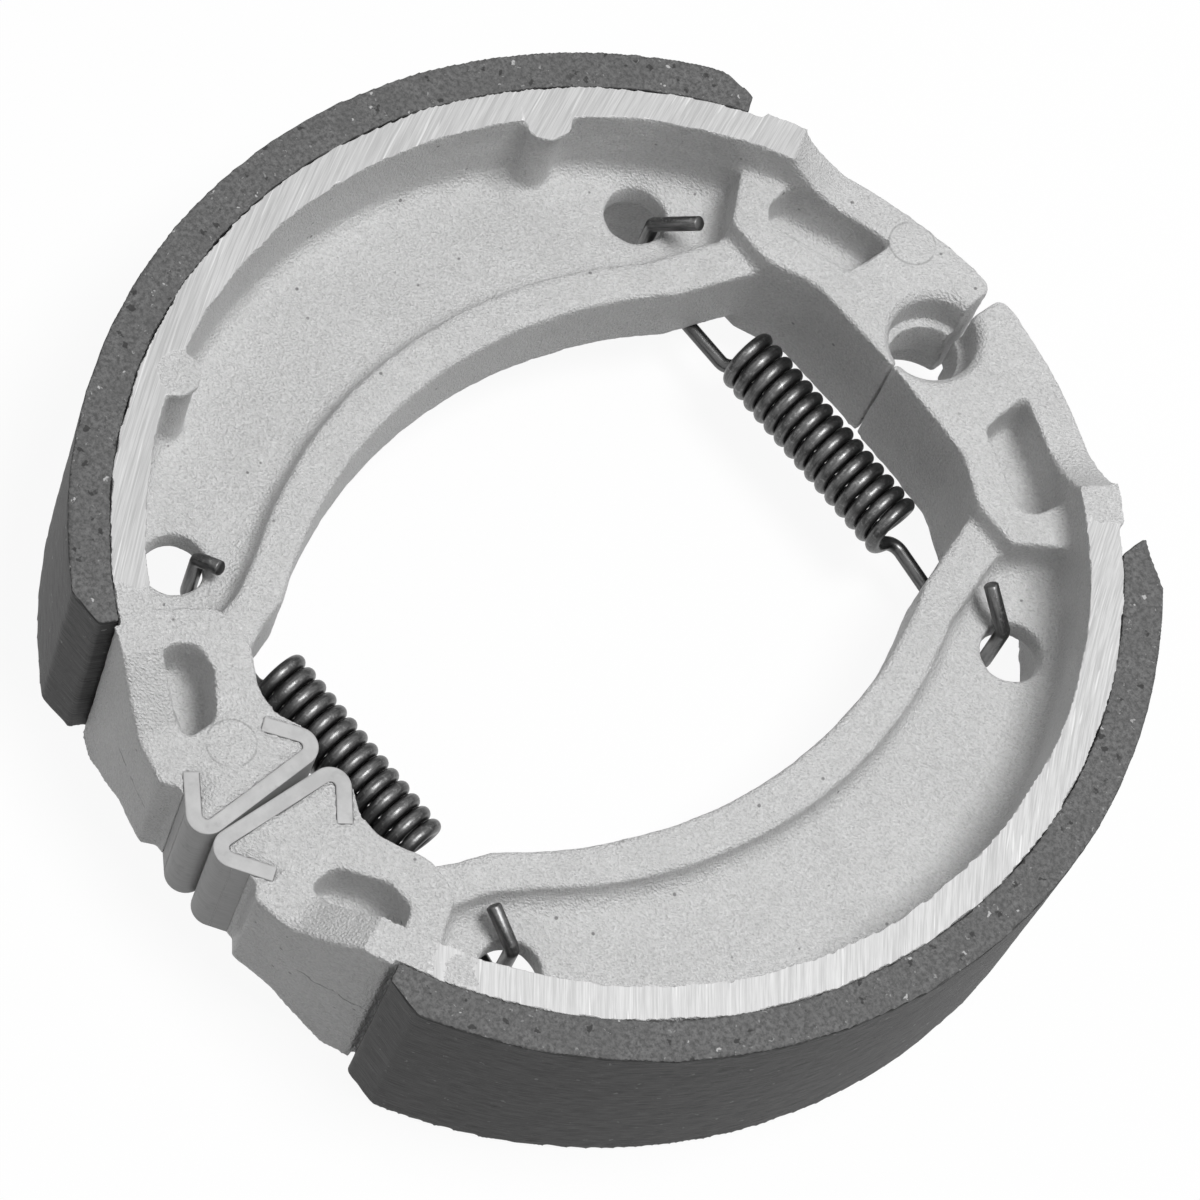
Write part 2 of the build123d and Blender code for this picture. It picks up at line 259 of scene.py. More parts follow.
class Shader:
    """A node material in the making, with one method for each kind of node."""

    def __init__(self, name):
        self.material = bpy.data.materials.new(name)
        self.material.use_nodes = True
        self.tree = self.material.node_tree
        self.tree.nodes.clear()
        self.surface = self.node("ShaderNodeBsdfPrincipled")
        output = self.node("ShaderNodeOutputMaterial")
        self.link(self.surface.outputs["BSDF"], output.inputs["Surface"])

    def node(self, kind, **settings):
        made = self.tree.nodes.new(kind)
        for key, value in settings.items():
            setattr(made, key, value)
        return made

    def link(self, source, target):
        """Joins an output to an input, or sets the input to a plain value."""
        if isinstance(source, bpy.types.NodeSocket):
            self.tree.links.new(source, target)
        else:
            target.default_value = source

    def coordinates(self, size, turn=0.0, centre=(0, 0, 0)):
        """Object coordinates from a centre, turned back about Z and measured in
        units of the given size."""
        place = self.node("ShaderNodeTexCoord").outputs["Object"]
        mapping = self.node("ShaderNodeMapping", vector_type="TEXTURE")
        self.link(place, mapping.inputs["Vector"])
        scale = size if isinstance(size, tuple) else (size,) * 3
        mapping.inputs["Scale"].default_value = scale
        mapping.inputs["Rotation"].default_value = (0, 0, turn)
        mapping.inputs["Location"].default_value = centre
        return mapping.outputs["Vector"]

    def away_from(self, x, y):
        """Distance from the upright line through x and y, all in millimetres."""
        across, along, _ = self.split(self.coordinates(MM, centre=(x * MM, y * MM, 0)))
        away = self.node("ShaderNodeVectorMath", operation="LENGTH")
        self.link(self.join(across, along, 0.0), away.inputs[0])
        return away.outputs["Value"]

    def split(self, vector):
        made = self.node("ShaderNodeSeparateXYZ")
        self.link(vector, made.inputs[0])
        return made.outputs

    def join(self, x, y, z):
        made = self.node("ShaderNodeCombineXYZ")
        for value, socket in zip((x, y, z), made.inputs):
            self.link(value, socket)
        return made.outputs[0]

    def math(self, operation, *values):
        made = self.node("ShaderNodeMath", operation=operation)
        for value, socket in zip(values, made.inputs):
            self.link(value, socket)
        return made.outputs[0]

    def noise(self, vector, scale=1.0, detail=3.0, rough=0.55):
        made = self.node("ShaderNodeTexNoise")
        self.link(vector, made.inputs["Vector"])
        made.inputs["Scale"].default_value = scale
        made.inputs["Detail"].default_value = detail
        made.inputs["Roughness"].default_value = rough
        return made.outputs["Fac"]

    def cells(self, vector, scale=1.0):
        """Distance to the nearest cell centre, and that cell's random number."""
        made = self.node("ShaderNodeTexVoronoi")
        self.link(vector, made.inputs["Vector"])
        made.inputs["Scale"].default_value = scale
        number = self.split(made.outputs["Color"])[0]
        return made.outputs["Distance"], number

    def dots(self, cells, picked, reach):
        """1 in the middle of the cells whose random number is picked. Picked and
        reach each give where the rise from 0 to 1 starts and where it ends, by the
        random number and by the distance from the cell's centre."""
        distance, number = cells
        return self.math("MULTIPLY", self.step(number, *picked), self.step(distance, *reach))

    def step(self, value, low, high, bottom=0.0, top=1.0):
        """Smooth rise from bottom to top as value goes from low to high."""
        made = self.node("ShaderNodeMapRange", interpolation_type="SMOOTHSTEP")
        made.clamp = True
        for number, socket in zip((value, low, high, bottom, top), made.inputs):
            self.link(number, socket)
        return made.outputs[0]

    def mix(self, factor, first, second):
        """Colour between first and second."""
        made = self.node("ShaderNodeMix", data_type="RGBA")
        self.link(factor, made.inputs["Factor"])
        for value, socket in ((first, made.inputs[6]), (second, made.inputs[7])):
            if not isinstance(value, bpy.types.NodeSocket):
                value = (*value, 1.0)
            self.link(value, socket)
        return made.outputs[2]

    def shades(self, value, colour, dark, light, low=0.3, high=0.7):
        """A colour times dark where value is low, and times light where it is high."""
        return self.mix(self.step(value, low, high), times(dark, colour), times(light, colour))

    def blend(self, factor, first, second):
        """Number between first and second."""
        made = self.node("ShaderNodeMix", data_type="FLOAT")
        self.link(factor, made.inputs["Factor"])
        self.link(first, made.inputs[2])
        self.link(second, made.inputs[3])
        return made.outputs[0]

    def blend_normals(self, factor, first, second):
        """Normal between first and second."""
        made = self.node("ShaderNodeMix", data_type="VECTOR")
        self.link(factor, made.inputs["Factor"])
        self.link(first, made.inputs[4])
        self.link(second, made.inputs[5])
        return made.outputs[1]

    def bump(self, height, distance, normal=None):
        made = self.node("ShaderNodeBump")
        self.link(height, made.inputs["Height"])
        made.inputs["Distance"].default_value = distance
        if normal is not None:
            self.link(normal, made.inputs["Normal"])
        return made.outputs["Normal"]

    def round_edges(self, radius, samples=6):
        made = self.node("ShaderNodeBevel", samples=samples)
        made.inputs["Radius"].default_value = radius
        return made.outputs["Normal"]

    def finish(self, **inputs):
        for name, value in inputs.items():
            socket = self.surface.inputs[name.replace("_", " ")]
            if isinstance(value, tuple) and len(value) == 3:
                value = (*value, 1.0)
            self.link(value, socket)
        return self.material


def dress(name, material):
    """Gives a CAD node a finish."""
    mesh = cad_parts[name].data
    mesh.materials.clear()
    mesh.materials.append(material)


def wander(points, size, seed):
    """A smooth random number between -1 and 1 at each point. Cubes of the given
    size have a random number at each corner, and a point takes the eight of its
    cube in shares w = p*p*(3-2p) and 1-w along each axis, p being its place in
    the cube from 0 to 1."""
    place = points / size
    cube = np.floor(place).astype(int)
    share_up = place - cube
    share_up = share_up**2 * (3 - 2 * share_up)
    cube -= cube.min(axis=0)
    numbers = np.random.default_rng(seed).uniform(-1, 1, cube.max(axis=0) + 2)
    total = np.zeros(len(points))
    for corner in np.ndindex(2, 2, 2):
        shares = np.where(corner, share_up, 1 - share_up).prod(axis=1)
        total += shares * numbers[tuple((cube + corner).T)]
    return total


def read_vectors(items, key):
    """A vector of each item of a mesh, such as its points' places, as rows."""
    flat = np.empty(len(items) * 3, np.float32)
    items.foreach_get(key, flat)
    return flat.reshape(-1, 3)


def write_places(mesh, points):
    """Moves the mesh's points to the given places."""
    mesh.vertices.foreach_set("co", points.astype(np.float32).ravel())
    mesh.update()


def even_cells(node, name, cell):
    """A piece of the given name, made from a merged copy of a CAD node in small
    even cells, and its mesh."""
    tool = bmesh.new()
    tool.from_mesh(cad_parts[node].data)
    bmesh.ops.remove_doubles(tool, verts=tool.verts, dist=MERGE_DISTANCE)
    merged = bpy.data.meshes.new(name)
    tool.to_mesh(merged)
    tool.free()
    piece = show(merged)
    cells = piece.modifiers.new("cells", "REMESH")
    cells.mode = "VOXEL"
    cells.voxel_size = cell
    mesh = applied(piece)
    piece.modifiers.clear()
    piece.data = mesh
    return piece, mesh


def moves_to_mean(mesh):
    """A function of the mesh's points that gives half the way from each point to
    the mean of the points that an edge joins to it."""
    ends = np.empty(len(mesh.edges) * 2, np.int32)
    mesh.edges.foreach_get("vertices", ends)
    first, second = ends.reshape(-1, 2).T
    here, there = np.concatenate([first, second]), np.concatenate([second, first])
    count = len(mesh.vertices)
    neighbours = np.bincount(here, minlength=count)[:, None]

    def moves(points):
        sums = [np.bincount(here, points[there, axis], count) for axis in range(3)]
        return (np.stack(sums, 1) / neighbours - points) / 2

    return moves


def worn_copy(node, name, finish, faces_at, most, held=()):
    """A copy of a CAD node in small even cells, with rounded edges and filled inner
    corners. A rounding pass moves each point half way to the mean of its
    neighbours. A filling pass does so only along the point's normal, and only
    outwards. Then each point is shifted by three wandering numbers, one along each
    axis. Points on the two cut faces, faces_at from the middle level, stay in
    them and keep their edges. Points inside the held boxes stay where they were,
    and the hold fades as w*w*(3-2w), w falling from 1 to 0 over the first
    millimetre outside. No point leaves the node's box. Cells are joined where it
    is flat until only so many triangles are left."""
    piece, mesh = even_cells(node, name, finish.cell)
    to_mean = moves_to_mean(mesh)
    start = read_vectors(mesh.vertices, "co").astype(float)
    level = start[:, 2] - MIDDLE
    cut = np.abs(np.abs(level) - HALF_RIM) < CUT_SLACK
    hold = np.zeros(len(start))
    for low, high in held:
        outside = np.maximum(np.maximum(np.subtract(low, start), start - high), 0)
        hold = np.maximum(hold, fading(np.linalg.norm(outside, axis=1) / MM))
    edge_hold = fading((HALF_RIM - np.abs(level)) / MM)
    free = (1 - np.maximum(hold, edge_hold))[:, None]

    points = start.copy()
    for _ in range(finish.passes):
        points += to_mean(points)
    points = start + free * (points - start)
    write_places(mesh, points)
    normal = read_vectors(mesh.vertices, "normal")
    for _ in range(finish.fills):
        rise = np.sum(to_mean(points) * normal, axis=1)
        points += free * np.maximum(rise, 0)[:, None] * normal
    coarse = [wander(points, COARSE_WANDER, seed) for seed in (1, 2, 3)]
    fine = [wander(points, FINE_WANDER, seed) for seed in (4, 5, 6)]
    shift = finish.uneven * (np.stack(coarse, 1) + np.stack(fine, 1))
    points += (1 - hold)[:, None] * (1 + edge_hold)[:, None] * shift
    points[cut, 2] = MIDDLE + np.sign(level[cut]) * faces_at
    write_places(mesh, np.clip(points, *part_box(node)))

    triangles = 2 * len(mesh.polygons)
    if triangles > most:
        fewer = piece.modifiers.new("fewer", "DECIMATE")
        fewer.ratio = most / triangles
        mesh = applied(piece)
        piece.modifiers.clear()
        piece.data = mesh
    mesh.name = name
    off_face = np.abs(np.abs(read_vectors(mesh.polygons, "center")[:, 2] - MIDDLE) - faces_at)
    upright = np.abs(read_vectors(mesh.polygons, "normal")[:, 2]) > 0.99
    mesh.polygons.foreach_set("use_smooth", ~(upright & (off_face < FACE_SLACK)))
    mesh.update()
    return piece


def fading(distance):
    """1 at a distance of 0, falling to 0 at 1 as w*w*(3-2w) with w = 1 - distance."""
    w = np.clip(1 - distance, 0, 1)
    return w**2 * (3 - 2 * w)


def applied(piece):
    """The mesh of a piece with its modifiers applied."""
    graph = bpy.context.evaluated_depsgraph_get()
    return bpy.data.meshes.new_from_object(piece.evaluated_get(graph))


def stand_for(piece, node, material):
    """Gives a piece its finish, and lets it stand for a CAD node on its body."""
    piece.data.materials.clear()
    piece.data.materials.append(material)
    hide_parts(node)
    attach(piece, "left_half" if node.startswith("left") else "right_half")


def cast_skin(shader, place, grain, finish):
    """Colour of the cast skin: faint wide stains, a light and dark grain, and a few
    dark specks."""
    skin = shader.shades(
        shader.noise(place, scale=0.12, detail=2.0), finish.colour, 0.97, 1.03
    )
    light, dark = times(1.4, finish.colour), times(0.5, finish.colour)
    skin = shader.mix(shader.step(grain, 0.5, 0.68, 0.0, GRAIN_SHARE), skin, light)
    skin = shader.mix(shader.step(grain, 0.5, 0.32, 0.0, GRAIN_SHARE), skin, dark)
    specks = shader.dots(shader.cells(place, scale=0.62), (0.88, 0.92), (0.15, 0.08))
    return shader.mix(shader.math("MULTIPLY", specks, 0.8), skin, tuple(finish.speck_and_shade))


def cut_share(shader, level, ragged, missed):
    """1 on the two rim faces where the cutter took off the skin, otherwise 0. On
    the upper face it missed some round places, whose edges are ragged."""
    face = HALF_RIM / MM
    cut = shader.step(shader.math("ABSOLUTE", level), face - 0.06, face - 0.03)
    under = shader.math("LESS_THAN", level, 0.0)
    for x, y, radius, edge in missed:
        away = shader.math("MULTIPLY_ADD", ragged, 8.0 * edge, shader.away_from(x, y))
        clear = shader.step(away, radius - 0.15, radius + 0.15)
        cut = shader.math("MULTIPLY", cut, shader.math("MAXIMUM", clear, under))
    return cut


def cutter_marks(shader, z):
    """Two noises drawn out along circles round the cutter's centre: a fine one for
    the marks, and a coarse one for the few deep scores."""
    x, y = CUTTER_CENTRE
    across, along, _ = shader.split(shader.coordinates(MM, centre=(x * MM, y * MM, 0)))
    radius = shader.away_from(x, y)
    turn = shader.math("ARCTAN2", along, across)
    drawn_out = []
    for marks_in_mm, marks_in_radian, lift in ((6.0, 28.0, 0.5), (2.6, 22.0, 1.0)):
        drawn_out.append(
            shader.join(
                shader.math("MULTIPLY", radius, marks_in_mm),
                shader.math("MULTIPLY", turn, marks_in_radian),
                shader.math("MULTIPLY", z, lift),
            )
        )
    return shader.noise(drawn_out[0], rough=0.7), shader.noise(drawn_out[1], detail=1.0)


def pin_ring_shade(shader, place, offset, rings):
    """1 on the thin broken circles that the ejector pins left, at the offset of the block faces
    from the middle level. The colour is darkened there as painted shade, standing for engraved
    grooves."""
    block_face = shader.math(
        "MULTIPLY", shader.step(offset, 7.0, 7.2), shader.step(offset, 8.2, 8.0)
    )
    ring = 0.0
    for x, y, radius in rings:
        off_line = shader.math("SUBTRACT", shader.away_from(x, y), radius)
        line = shader.step(shader.math("ABSOLUTE", off_line), 0.15, 0.04)
        ring = shader.math("MAXIMUM", ring, shader.math("MULTIPLY", line, block_face))
    broken = shader.step(shader.noise(place, scale=0.35, detail=1.0), 0.36, 0.5, 0.25, 1.0)
    return shader.math("MULTIPLY", ring, broken)


def painted_seam_shade(shader, place, level, ragged, seam):
    """1 on the torn stretch of the mould's seam, a line that wobbles about the middle level
    within reach of a place. The colour is darkened there as painted shade of a gouge."""
    x, y, reach = seam
    wobble = shader.math("SUBTRACT", shader.noise(place, scale=0.45, detail=2.0), 0.5)
    off_line = shader.math("ABSOLUTE", shader.math("MULTIPLY_ADD", wobble, 2.2, level))
    near = shader.step(shader.away_from(x, y), reach, 0.6 * reach)
    seam_shade = shader.math("MULTIPLY", shader.step(off_line, 0.2, 0.08), near)
    return shader.math("MULTIPLY", seam_shade, shader.step(ragged, -0.08, 0.05))


def cast_aluminium(name, finish, missed, rings, up, seam):
    """Cast skin with a fine even grain, specks and faint stains, and rim faces that
    are cut bright. The cut has missed some places, each given as x, y, radius and
    the width of its ragged edge, in millimetres. Rings are the outlines that ejector
    pins left on the block faces, given as x, y and radius, on the side that was up
    or down; their thin dark lines are painted shade of engraved grooves. The mould's
    seam is torn near one place, given as x, y and reach, and a dark line along it
    there is painted shade of a gouge."""
    shader = Shader(name)
    place = shader.coordinates(MM)
    z = shader.split(place)[2]
    level = shader.math("SUBTRACT", z, MIDDLE / MM)
    size = finish.grain
    grain = shader.noise(shader.coordinates((size, 0.7 * size, size), GRAIN_TURN), detail=2.0)
    ragged = shader.math("SUBTRACT", shader.noise(place, scale=0.7), 0.5)

    cut = cut_share(shader, level, ragged, missed)
    marks, scores = cutter_marks(shader, z)
    bright = shader.shades(marks, finish.machined, 0.8, 1.16)
    bright = shader.mix(shader.step(scores, 0.66, 0.7, 0.0, 0.35), bright, SCORE_COLOUR)
    colour = shader.mix(cut, cast_skin(shader, place, grain, finish), bright)
    # Painted shade: the pin rings and the torn seam are darkened towards the speck colour,
    # standing for the shade of grooves and of a gouge.
    dark = tuple(finish.speck_and_shade)
    ring_shade = pin_ring_shade(shader, place, shader.math("MULTIPLY", level, up), rings)
    colour = shader.mix(shader.math("MULTIPLY", ring_shade, 0.4), colour, dark)
    # Painted shade: a dark line along the torn seam, standing for the shade inside a gouge.
    seam_shade = painted_seam_shade(shader, place, level, ragged, seam)
    colour = shader.mix(shader.math("MULTIPLY", seam_shade, 0.8), colour, dark)

    skin_normal = shader.bump(grain, finish.grain_depth)
    cut_normal = shader.bump(marks, finish.scratch)
    return shader.finish(
        Base_Color=colour,
        Metallic=0.1,
        Specular_IOR_Level=0.55,
        Roughness=shader.blend(cut, 0.44, 0.42),
        Normal=shader.blend_normals(cut, skin_normal, cut_normal),
    )


def friction_material(name, finish, centre_x):
    """Dark moulded mix of fibres with light and dark grains, its outer face ground
    with streaks that run round the drum's axis."""
    shader = Shader(name)
    place = shader.coordinates(MM)
    x, y, z = shader.split(shader.coordinates(MM, centre=(centre_x, 0, 0)))
    facing = shader.split(shader.node("ShaderNodeNewGeometry").outputs["True Normal"])
    side = shader.step(shader.math("ABSOLUTE", facing[2]), 0.5, 0.7)

    fibres = shader.noise(place, scale=2.2, rough=0.75)
    patches = shader.step(shader.noise(place, scale=0.5, detail=2.0), 0.35, 0.65, 0.0, 0.35)
    moulded = shader.shades(fibres, finish.colour, 0.55, 1.45)
    moulded = shader.mix(patches, moulded, times(0.75, finish.colour))

    turn = shader.math("ARCTAN2", y, x)
    around = shader.math("MULTIPLY", turn, STREAKS_IN_RADIAN)
    down = shader.math("MULTIPLY", z, MM / finish.streak)
    streaks = shader.noise(shader.join(around, 0.0, down), rough=0.65)
    ground = shader.shades(streaks, finish.ground, 0.15, 2.4, 0.36, 0.64)
    colour = shader.mix(side, ground, moulded)

    spacing = finish.flake_spacing / MM
    warped = shader.node("ShaderNodeVectorMath", operation="ADD")
    drift = shader.node("ShaderNodeTexNoise")
    shader.link(place, drift.inputs["Vector"])
    drift.inputs["Scale"].default_value = 2.2
    drift.inputs["Detail"].default_value = 1.0
    shader.link(place, warped.inputs[0])
    shader.link(drift.outputs["Color"], warped.inputs[1])
    grains = shader.cells(warped.outputs[0], scale=1 / spacing)
    small_grains = shader.cells(warped.outputs[0], scale=2.6 / spacing)
    pit = shader.dots(grains, (0.3, 0.28), (0.3, 0.18))
    colour = shader.mix(shader.math("MULTIPLY", pit, 0.8), colour, tuple(finish.pit))
    dust = shader.dots(small_grains, (0.88, 0.9), (0.3, 0.2))
    dust = shader.math("MULTIPLY", dust, shader.blend(side, 0.12, 0.4))
    colour = shader.mix(dust, colour, tuple(finish.flake))
    flake = shader.dots(grains, (0.78, 0.8), (0.19, 0.12))
    flake = shader.math("MULTIPLY", flake, shader.blend(side, 0.35, 0.95))
    colour = shader.mix(flake, colour, tuple(finish.flake))
    return shader.finish(
        Base_Color=colour,
        Specular_IOR_Level=0.3,
        Roughness=shader.blend(side, 0.55, 0.72),
        Normal=shader.bump(shader.blend(side, streaks, fibres), finish.relief),
    )


def rolled_steel(name, finish):
    """Plain steel strip with faint lines along the strip and a few stains."""
    shader = Shader(name)
    place = shader.coordinates(MM)
    lines = shader.noise(
        shader.coordinates((2.5 * MM, 2.5 * MM, 0.17 * MM)), detail=4.0, rough=0.65
    )
    stain = shader.noise(place, scale=0.7, detail=4.0)
    colour = shader.shades(lines, finish.colour, 0.9, 1.08)
    stain = shader.step(stain, 0.55, 0.75, 0.0, 0.35)
    colour = shader.mix(stain, colour, times(0.5, finish.colour))
    return shader.finish(
        Base_Color=colour,
        Metallic=0.2,
        Roughness=finish.rough,
        Normal=shader.bump(lines, 0.008 * MM, shader.round_edges(0.25 * MM)),
    )


def blackened_wire(name, sizes):
    """Black oxide steel, rubbed grey in specks on the outside of the coil. The
    worn attribute tells how far a point faces away from the coil's axis."""
    shader = Shader(name)
    along = shader.node("ShaderNodeUVMap", uv_map="wire")
    drawn = shader.node("ShaderNodeMapping")
    shader.link(along.outputs[0], drawn.inputs["Vector"])
    drawn.inputs["Scale"].default_value = (0.35, 3.0, 1.0)
    lines = shader.noise(drawn.outputs[0], detail=4.0, rough=0.65)
    place = shader.coordinates(MM)
    rub = shader.noise(place, scale=2.4, detail=5.0, rough=0.7)
    outer = shader.node("ShaderNodeAttribute", attribute_name="worn").outputs["Fac"]
    worn = shader.math(
        "MULTIPLY",
        shader.step(rub, 0.5, 0.75),
        shader.step(outer, 0.4, 0.98, 0.05, 0.8),
    )
    colour = shader.mix(worn, shader.shades(lines, sizes.colour, 0.7, 1.5), tuple(sizes.worn))
    return shader.finish(
        Base_Color=colour,
        Metallic=1.0,
        Roughness=shader.blend(worn, 0.36, 0.42),
        Normal=shader.bump(rub, 0.012 * MM),
    )


def rounded_route(corners, radii, steps=8):
    """Points of a bent wire's middle line through corners. Each inner corner is
    an arc of its radius: with unit directions u in and v out and half turn h, it
    starts r*tan(h) before the corner, and its point at angle t is
    start + r*sin(t)*u + r*(1-cos(t))*n, where n is v's part across u."""
    corners = np.asarray(corners, float)
    runs = np.diff(corners, axis=0)
    runs /= np.linalg.norm(runs, axis=1)[:, None]
    route = [corners[:1]]
    for corner, u, v, radius in zip(corners[1:-1], runs, runs[1:], radii):
        turn = math.acos(np.clip(u @ v, -1, 1))
        across = v - (u @ v) * u
        across /= np.linalg.norm(across)
        t = np.linspace(0, turn, steps + 1)[:, None]
        start = corner - radius * math.tan(turn / 2) * u
        route.append(start + radius * (np.sin(t) * u + (1 - np.cos(t)) * across))
    return np.vstack(route + [corners[-1:]])


def spring_line(x_middle, y, level, radius, pitch, turns, ends, sizes):
    """Middle line of a spring and the way its outside faces.

    The coil is a helix about X: (x, y + R cos a, z + R sin a), where x rises by
    the pitch in each turn of a. It starts low, a little to +Y, and ends low, a
    little to -Y. From each end the wire runs out under the web, up through its
    hole and back over it."""
    whole = turns + COIL_PART_TURN
    t = np.linspace(0, whole, int(whole * sizes.steps) + 1)
    angle = COIL_START + 2 * math.pi * t
    outward = np.stack([0 * t, np.cos(angle), np.sin(angle)], axis=1)
    centre = np.array([x_middle, y, level])
    along = np.stack([(t - whole / 2) * pitch, 0 * t, 0 * t], axis=1)
    coil = centre + along + radius * outward
    lines, facing = [], []
    for side, (tip, over, below) in zip((-1, 1), ends):
        start = coil[0] if side < 0 else coil[-1]
        before = coil[1] if side < 0 else coil[-2]
        leaving = (start - before) / np.linalg.norm(start - before)
        bend = start + leaving * BEND_REACH * sizes.bend
        corners = [start, bend, (*below, bend[2]), over, tip]
        bends = (sizes.bend, sizes.hook_bend, sizes.hook_bend / 2)
        wire = rounded_route(corners, bends)
        run = np.gradient(wire, axis=0)
        run /= np.linalg.norm(run, axis=1)[:, None]
        flat = np.cross(run, (0, -side, 0))
        flat[: len(wire) // 2 - 4] = DOWN
        flat[0] = outward[0] if side < 0 else outward[-1]
        flat -= np.sum(flat * run, axis=1)[:, None] * run
        lines.append(wire)
        facing.append(flat)
    line = np.vstack([lines[0][:0:-1], coil, lines[1][1:]])
    face = np.vstack([facing[0][:0:-1], outward, facing[1][1:]])
    face /= np.linalg.norm(face, axis=1)[:, None]
    return line, face


def wire_mesh(name, line, face, radius, sides):
    """A round wire: at each point of the line p, with the facing n and
    b = direction x n, the ring p + r (cos a n + sin a b) for a round the circle.
    Each end is closed by a slightly smaller ring and a middle point."""
    direction = np.gradient(line, axis=0)
    direction /= np.linalg.norm(direction, axis=1)[:, None]
    face = face - np.sum(face * direction, axis=1)[:, None] * direction
    face /= np.linalg.norm(face, axis=1)[:, None]
    binormal = np.cross(direction, face)
    chamfer = WIRE_CHAMFER * radius
    first, last = chamfer * direction[:1], chamfer * direction[-1:]
    line = np.vstack([line[:1], line[:1] + first, line[1:-1], line[-1:] - last, line[-1:]])
    face = np.vstack([face[:1], face, face[-1:]])
    binormal = np.vstack([binormal[:1], binormal, binormal[-1:]])
    count = len(line)
    radii = np.full(count, radius)
    radii[[0, -1]] = radius - chamfer
    angle = np.linspace(0, 2 * math.pi, sides, endpoint=False)
    ring = (
        np.cos(angle)[None, :, None] * face[:, None, :]
        + np.sin(angle)[None, :, None] * binormal[:, None, :]
    )
    grid = line[:, None, :] + radii[:, None, None] * ring
    points = np.vstack([grid.reshape(-1, 3), line[:1], line[-1:]])

    i, j = np.meshgrid(np.arange(count - 1), np.arange(sides), indexing="ij")
    here, next_side = i * sides + j, i * sides + (j + 1) % sides
    quads = np.stack([here, next_side, next_side + sides, here + sides], axis=-1)
    quads = quads.reshape(-1, 4)
    j = np.arange(sides)
    k = (j + 1) % sides
    start_middle, end_middle = count * sides, count * sides + 1
    end_ring = (count - 1) * sides
    start_cap = np.stack([np.full(sides, start_middle), k, j], axis=1)
    end_cap = np.stack([np.full(sides, end_middle), end_ring + j, end_ring + k], axis=1)
    mesh = bpy.data.meshes.new(name)
    faces = quads.tolist() + start_cap.tolist() + end_cap.tolist()
    mesh.from_pydata(points.tolist(), [], faces)
    mesh.shade_smooth()

    steps = np.linalg.norm(np.diff(line, axis=0), axis=1)
    travelled = np.concatenate([[0], np.cumsum(steps)])
    u = np.concatenate([np.repeat(travelled, sides), travelled[[0, -1]]]) / MM
    v = np.concatenate([np.tile(radius * angle, count), [0, 0]]) / MM
    corner = np.concatenate([quads.ravel(), start_cap.ravel(), end_cap.ravel()])
    layer = mesh.uv_layers.new(name="wire")
    layer.uv.foreach_set("vector", np.stack([u, v], axis=1)[corner].astype(np.float32).ravel())
    worn = mesh.attributes.new("worn", "FLOAT", "POINT")
    outer = np.concatenate([np.tile(np.cos(angle), count), [0, 0]])
    worn.data.foreach_set("value", outer.astype(np.float32))
    return mesh


def show(mesh):
    """Puts a mesh in the scene as an object of its name."""
    made = bpy.data.objects.new(mesh.name, mesh)
    bpy.context.scene.collection.objects.link(made)
    return made


class OBJECT_OT_brake_castings(bpy.types.Operator):
    """Finish the two shoe castings as cast aluminium with machined rim faces"""

    bl_idname = "object.brake_castings"
    bl_label = "Finish Castings"

    def execute(self, context):
        finish = context.scene.brake_castings
        anchor_faces = ((-0.6 * MM, 30 * MM, -1), (0.6 * MM, 42 * MM, 1))
        pin_hole = ((-5.2 * MM, 37.5 * MM, 6.4 * MM), (5.2 * MM, 48 * MM, 18.6 * MM))
        halves = (
            (
                "left",
                -1,
                ((-37.8, -24.65, 2.4, 0.1), (-18.0, -45.0, 5.5, 0.7), (-19.5, 45.0, 3.5, 0.4)),
                (-11.0, -50.4, 4.5),
            ),
            (
                "right",
                1,
                ((23.2, 43.4, 4.5, 0.4), (19.0, -45.5, 4.5, 0.5), (24.6, -41.4, 1.7, 0.6)),
                (16.7, -48.7, 5.5),
            ),
        )
        for half, side, missed, seam in halves:
            node = half + "_shoe"
            held = (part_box(half + "_cam_plate"), anchor_faces, pin_hole)
            piece = worn_copy(
                node, half + "_casting", finish, HALF_RIM, CASTING_TRIANGLES, held
            )
            rings = ((side * 9.13, 47.64, 2.4), (side * 6.3, -42.75, 2.4))
            material = cast_aluminium("cast_" + half, finish, missed, rings, -side, seam)
            stand_for(piece, node, material)
        return {"FINISHED"}


class OBJECT_OT_brake_linings(bpy.types.Operator):
    """Finish the two linings as moulded friction material"""

    bl_idname = "object.brake_linings"
    bl_label = "Finish Linings"

    def execute(self, context):
        finish = context.scene.brake_linings
        for name, far in (("left_lining", 0), ("right_lining", 1)):
            inwards = 1 - 2 * far
            centre_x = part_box(name)[far].x + inwards * DRUM_RADIUS
            faces_at = HALF_RIM - finish.inset
            piece = worn_copy(name, name + "_pad", finish, faces_at, LINING_TRIANGLES)
            material = friction_material(name + "_mix", finish, centre_x)
            stand_for(piece, name, material)
        return {"FINISHED"}


class OBJECT_OT_brake_plates(bpy.types.Operator):
    """Finish the two steel cam plates as rolled strip"""

    bl_idname = "object.brake_plates"
    bl_label = "Finish Cam Plates"

    def execute(self, context):
        steel = rolled_steel("plate_steel", context.scene.brake_plates)
        dress("left_cam_plate", steel)
        dress("right_cam_plate", steel)
        return {"FINISHED"}


